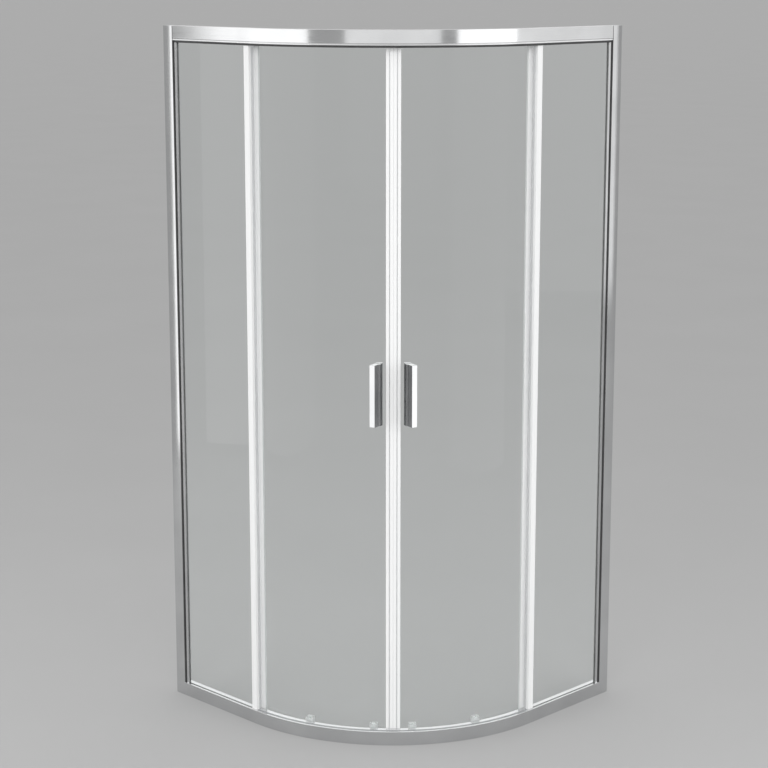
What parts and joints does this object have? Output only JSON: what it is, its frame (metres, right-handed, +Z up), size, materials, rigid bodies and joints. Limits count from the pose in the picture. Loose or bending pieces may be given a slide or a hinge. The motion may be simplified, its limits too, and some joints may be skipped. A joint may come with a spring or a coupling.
{
  "type": "quadrant shower enclosure",
  "caption": "Quarter-round corner shower enclosure with fixed glass panes, curved sliding glass doors on roller rails, magnetic seals and slanted bar handles.",
  "frame": {"origin": "on the floor, in the middle of the square footprint's bounding box", "axes": "+Z up; the room's corner is at the -X +Y corner, with the walls on the planes x = -0.45 m and y = +0.45 m; the arc bulges towards +X -Y"},
  "size_m": [0.9, 0.9, 1.946],
  "materials": {
    "polished_aluminium": "polished, bright anodised",
    "connector_zinc": "die cast",
    "screw_steel": "stainless",
    "infill_grey": "satin",
    "cap_plastic": "smooth",
    "stop_rubber": "matt",
    "clear_glass": "clear toughened, 6 mm",
    "gasket_rubber": "matt black",
    "milky_pvc": "translucent milky white",
    "magnet_rubber": "magnetic strip in a milky cover",
    "chrome": "bright chrome",
    "guide_plastic": "metallised plastic",
    "wheel_nylon": "smooth nylon"
  },
  "bodies": {
    "frame": {"top_rail": "polished_aluminium", "bottom_rail": "polished_aluminium", "corner_connectors": "connector_zinc", "connector_screws": "screw_steel", "rail_infill": "infill_grey", "wall_profile_left": "polished_aluminium", "wall_profile_right": "polished_aluminium", "side_post_left": "polished_aluminium", "side_post_right": "polished_aluminium", "post_caps": "cap_plastic", "post_screws": "screw_steel", "fixed_glass_left": "clear_glass", "fixed_glass_right": "clear_glass", "glass_gasket_left": "gasket_rubber", "glass_gasket_right": "gasket_rubber", "fixed_edge_seal_left": "milky_pvc", "fixed_edge_seal_right": "milky_pvc", "end_stops": "stop_rubber"},
    "door_left": {"door_glass_left": "clear_glass", "rear_seal_left": "milky_pvc", "magnet_seal_left": "milky_pvc", "magnet_strip_left": "magnet_rubber", "top_carrier_rear_left": "chrome", "top_carrier_front_left": "chrome", "carrier_caps_left": "chrome", "guide_housings_left": "guide_plastic", "guide_nuts_left": "chrome", "handle_outer_left": "chrome", "handle_inner_left": "chrome", "handle_screws_left": "screw_steel"},
    "top_wheel_rear_a_left": {"top_wheel_rear_a_left": "wheel_nylon"},
    "top_wheel_rear_b_left": {"top_wheel_rear_b_left": "wheel_nylon"},
    "top_wheel_front_a_left": {"top_wheel_front_a_left": "wheel_nylon"},
    "top_wheel_front_b_left": {"top_wheel_front_b_left": "wheel_nylon"},
    "guide_slider_rear_left": {"guide_slider_rear_left": "guide_plastic"},
    "guide_wheel_rear_left": {"guide_wheel_rear_left": "wheel_nylon"},
    "guide_slider_front_left": {"guide_slider_front_left": "guide_plastic"},
    "guide_wheel_front_left": {"guide_wheel_front_left": "wheel_nylon"},
    "door_right": {"door_glass_right": "clear_glass", "rear_seal_right": "milky_pvc", "magnet_seal_right": "milky_pvc", "magnet_strip_right": "magnet_rubber", "top_carrier_rear_right": "chrome", "top_carrier_front_right": "chrome", "carrier_caps_right": "chrome", "guide_housings_right": "guide_plastic", "guide_nuts_right": "chrome", "handle_outer_right": "chrome", "handle_inner_right": "chrome", "handle_screws_right": "screw_steel"},
    "top_wheel_rear_a_right": {"top_wheel_rear_a_right": "wheel_nylon"},
    "top_wheel_rear_b_right": {"top_wheel_rear_b_right": "wheel_nylon"},
    "top_wheel_front_a_right": {"top_wheel_front_a_right": "wheel_nylon"},
    "top_wheel_front_b_right": {"top_wheel_front_b_right": "wheel_nylon"},
    "guide_slider_rear_right": {"guide_slider_rear_right": "guide_plastic"},
    "guide_wheel_rear_right": {"guide_wheel_rear_right": "wheel_nylon"},
    "guide_slider_front_right": {"guide_slider_front_right": "guide_plastic"},
    "guide_wheel_front_right": {"guide_wheel_front_right": "wheel_nylon"}
  },
  "joints": [
    {"name": "door_left_travel", "type": "hinge", "parent": "frame", "child": "door_left", "pos_m": [-0.1074, 0.1045, 0.973], "axis": [0, 0, -1], "range_deg": [0, 26]},
    {"name": "top_wheel_rear_a_left_spin", "type": "hinge", "parent": "door_left", "child": "top_wheel_rear_a_left", "pos_m": [0.06854, -0.40107, 1.9148], "axis": [0.342, -0.9397, 0], "continuous": true},
    {"name": "top_wheel_rear_b_left_spin", "type": "hinge", "parent": "door_left", "child": "top_wheel_rear_b_left", "pos_m": [0.09297, -0.39218, 1.9148], "axis": [0.342, -0.9397, 0], "continuous": true},
    {"name": "top_wheel_front_a_left_spin", "type": "hinge", "parent": "door_left", "child": "top_wheel_front_a_left", "pos_m": [0.22249, -0.3189, 1.9148], "axis": [0.6293, -0.7771, 0], "continuous": true},
    {"name": "top_wheel_front_b_left_spin", "type": "hinge", "parent": "door_left", "child": "top_wheel_front_b_left", "pos_m": [0.2427, -0.30254, 1.9148], "axis": [0.6293, -0.7771, 0], "continuous": true},
    {"name": "guide_slider_rear_left_press", "type": "slide", "parent": "door_left", "child": "guide_slider_rear_left", "axis": [0, 0, -1], "range_m": [0, 0.006], "stiffness_N_per_m": 400, "springref_m": -0.006},
    {"name": "guide_wheel_rear_left_spin", "type": "hinge", "parent": "guide_slider_rear_left", "child": "guide_wheel_rear_left", "pos_m": [0.06507, -0.40206, 0.0292], "axis": [0.3123, -0.95, 0], "continuous": true},
    {"name": "guide_slider_front_left_press", "type": "slide", "parent": "door_left", "child": "guide_slider_front_left", "axis": [0, 0, -1], "range_m": [0, 0.006], "stiffness_N_per_m": 400, "springref_m": -0.006},
    {"name": "guide_wheel_front_left_spin", "type": "hinge", "parent": "guide_slider_front_left", "child": "guide_wheel_front_left", "pos_m": [0.2326, -0.31072, 0.0292], "axis": [0.6293, -0.7771, 0], "continuous": true},
    {"name": "door_right_travel", "type": "hinge", "parent": "frame", "child": "door_right", "pos_m": [-0.1045, 0.1074, 0.973], "axis": [0, 0, 1], "range_deg": [0, 26]},
    {"name": "top_wheel_rear_a_right_spin", "type": "hinge", "parent": "door_right", "child": "top_wheel_rear_a_right", "pos_m": [0.40107, -0.06854, 1.9148], "axis": [0.9397, -0.342, 0], "continuous": true},
    {"name": "top_wheel_rear_b_right_spin", "type": "hinge", "parent": "door_right", "child": "top_wheel_rear_b_right", "pos_m": [0.39218, -0.09297, 1.9148], "axis": [0.9397, -0.342, 0], "continuous": true},
    {"name": "top_wheel_front_a_right_spin", "type": "hinge", "parent": "door_right", "child": "top_wheel_front_a_right", "pos_m": [0.3189, -0.22249, 1.9148], "axis": [0.7771, -0.6293, 0], "continuous": true},
    {"name": "top_wheel_front_b_right_spin", "type": "hinge", "parent": "door_right", "child": "top_wheel_front_b_right", "pos_m": [0.30254, -0.2427, 1.9148], "axis": [0.7771, -0.6293, 0], "continuous": true},
    {"name": "guide_slider_rear_right_press", "type": "slide", "parent": "door_right", "child": "guide_slider_rear_right", "axis": [0, 0, -1], "range_m": [0, 0.006], "stiffness_N_per_m": 400, "springref_m": -0.006},
    {"name": "guide_wheel_rear_right_spin", "type": "hinge", "parent": "guide_slider_rear_right", "child": "guide_wheel_rear_right", "pos_m": [0.40206, -0.06507, 0.0292], "axis": [0.95, -0.3123, 0], "continuous": true},
    {"name": "guide_slider_front_right_press", "type": "slide", "parent": "door_right", "child": "guide_slider_front_right", "axis": [0, 0, -1], "range_m": [0, 0.006], "stiffness_N_per_m": 400, "springref_m": -0.006},
    {"name": "guide_wheel_front_right_spin", "type": "hinge", "parent": "guide_slider_front_right", "child": "guide_wheel_front_right", "pos_m": [0.31072, -0.2326, 0.0292], "axis": [0.7771, -0.6293, 0], "continuous": true}
  ],
  "couplings": [
    {"joint": "top_wheel_rear_a_left_spin", "follows": "door_left_travel", "ratio": 52.85},
    {"joint": "top_wheel_rear_b_left_spin", "follows": "door_left_travel", "ratio": 52.85},
    {"joint": "top_wheel_front_a_left_spin", "follows": "door_left_travel", "ratio": 52.85},
    {"joint": "top_wheel_front_b_left_spin", "follows": "door_left_travel", "ratio": 52.85},
    {"joint": "guide_wheel_rear_left_spin", "follows": "door_left_travel", "ratio": -66.062},
    {"joint": "guide_wheel_front_left_spin", "follows": "door_left_travel", "ratio": -66.062},
    {"joint": "top_wheel_rear_a_right_spin", "follows": "door_right_travel", "ratio": -52.85},
    {"joint": "top_wheel_rear_b_right_spin", "follows": "door_right_travel", "ratio": -52.85},
    {"joint": "top_wheel_front_a_right_spin", "follows": "door_right_travel", "ratio": -52.85},
    {"joint": "top_wheel_front_b_right_spin", "follows": "door_right_travel", "ratio": -52.85},
    {"joint": "guide_wheel_rear_right_spin", "follows": "door_right_travel", "ratio": 66.062},
    {"joint": "guide_wheel_front_right_spin", "follows": "door_right_travel", "ratio": 66.062}
  ]
}
